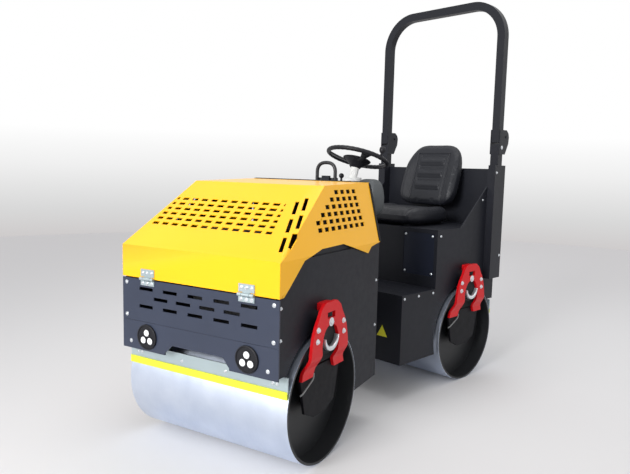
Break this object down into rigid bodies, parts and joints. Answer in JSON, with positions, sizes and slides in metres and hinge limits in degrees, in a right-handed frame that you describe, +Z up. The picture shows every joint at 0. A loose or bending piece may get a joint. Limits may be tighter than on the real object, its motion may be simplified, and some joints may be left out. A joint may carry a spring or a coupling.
{
  "type": "road roller",
  "caption": "Ride-on double-drum road roller with a pivoting frame, perforated tilting hood, seat, steering wheel and folding roll-over hoop.",
  "frame": {"origin": "on the ground under the middle of the overall box", "axes": "+Z up, the rear frame's front looks along -Y, +X is the operator's left; the front frame is steered 14 degrees to the operator's left side at rest"},
  "size_m": [1.1176, 2.2312, 2.247],
  "materials": {
    "hood_paint": "gloss amber paint",
    "black_paint": "semi-gloss black paint",
    "charcoal_paint": "satin charcoal paint",
    "red_paint": "gloss red paint",
    "drum_steel": "rolled and polished",
    "zinc": "zinc plated",
    "blade_paint": "yellow-green paint",
    "rubber": "matt",
    "vinyl": "grained black vinyl",
    "white_plastic": "smooth",
    "grey_plastic": "fine grain",
    "black_plastic": "fine grain",
    "cast_iron": "rough",
    "chrome": "polished",
    "lamp_lens": "clear",
    "red_lens": "clear red"
  },
  "bodies": {
    "rear_frame": {"rear_chassis": "charcoal_paint", "seat_pedestal": "charcoal_paint", "access_cover": "black_paint", "rear_tank": "charcoal_paint", "seat_cushion": "vinyl", "seat_back": "vinyl", "steering_column": "white_plastic", "console": "grey_plastic", "drive_lever": "black_plastic", "rops_posts": "charcoal_paint", "rear_forks": "red_paint", "rear_buffers": "rubber", "rear_hub_carriers": "black_paint", "rear_scraper_bar": "zinc", "rear_scraper_blade": "blade_paint", "tail_lamps": "red_lens"},
    "pivot_yoke": {"hitch_yoke": "charcoal_paint"},
    "front_frame": {"front_side_plates": "charcoal_paint", "front_chassis": "charcoal_paint", "front_hitch": "charcoal_paint", "hitch_pin": "zinc", "front_grille_panel": "black_paint", "front_bumper_panel": "black_paint", "headlamp_housings": "black_plastic", "headlamp_lenses": "lamp_lens", "engine_block": "cast_iron", "lifting_post": "black_paint", "lifting_eye": "black_paint", "hood_hinge_fixed": "zinc", "front_forks": "red_paint", "front_buffers": "rubber", "front_hub_carriers": "black_paint", "front_scraper_bar": "zinc", "front_scraper_blade": "blade_paint"},
    "hood": {"hood_shell": "hood_paint", "hood_front_grille": "hood_paint", "hood_left_grille": "hood_paint", "hood_right_grille": "hood_paint", "hood_hinge_moving": "zinc"},
    "front_roller": {"front_drum": "drum_steel"},
    "rear_roller": {"rear_drum": "drum_steel"},
    "hoop": {"rops_hoop": "charcoal_paint"},
    "wheel": {"steering_wheel": "black_plastic", "steering_rim": "black_plastic", "steering_knob": "black_plastic"},
    "cylinder_barrel": {"steering_cylinder_barrel": "black_paint"},
    "cylinder_rod": {"steering_cylinder_rod": "chrome"}
  },
  "joints": [
    {"name": "frame_oscillation", "type": "hinge", "parent": "rear_frame", "child": "pivot_yoke", "pos_m": [-0.10183, 0.20958, 0.4], "axis": [0, 1, 0], "range_deg": [-8, 8]},
    {"name": "articulated_steering", "type": "hinge", "parent": "pivot_yoke", "child": "front_frame", "pos_m": [-0.10183, 0.02958, 0.4], "axis": [0, 0, 1], "range_deg": [-44, 16]},
    {"name": "front_drum_roll", "type": "hinge", "parent": "front_frame", "child": "front_roller", "pos_m": [0.07961, -0.69814, 0.28], "axis": [0.9703, 0.2419, 0], "continuous": true},
    {"name": "rear_drum_roll", "type": "hinge", "parent": "rear_frame", "child": "rear_roller", "pos_m": [-0.10183, 0.77958, 0.28], "axis": [1, 0, 0], "continuous": true},
    {"name": "hood_opening", "type": "hinge", "parent": "front_frame", "child": "hood", "pos_m": [0.16066, -1.02319, 0.751], "axis": [0.9703, 0.2419, 0], "range_deg": [0, 65]},
    {"name": "hoop_fold", "type": "hinge", "parent": "rear_frame", "child": "hoop", "pos_m": [-0.10183, 1.07758, 1.44], "axis": [-1, 0, 0], "range_deg": [0, 105]},
    {"name": "steering_wheel_turn", "type": "hinge", "parent": "rear_frame", "child": "wheel", "pos_m": [-0.10183, 0.24158, 1.293], "axis": [0, 0.309, 0.9511], "continuous": true},
    {"name": "cylinder_swing", "type": "hinge", "parent": "pivot_yoke", "child": "cylinder_barrel", "pos_m": [-0.27183, 0.11958, 0.4], "axis": [0, 0, 1], "range_deg": [-36.5, 14]},
    {"name": "cylinder_stroke", "type": "slide", "parent": "cylinder_barrel", "child": "cylinder_rod", "axis": [0.1848, -0.9828, 0], "range_m": [-0.13, 0.048]}
  ],
  "couplings": [
    {"joint": "cylinder_swing", "follows": "articulated_steering", "ratio": 0.805},
    {"joint": "cylinder_stroke", "follows": "articulated_steering", "m_per_rad": 0.166}
  ]
}
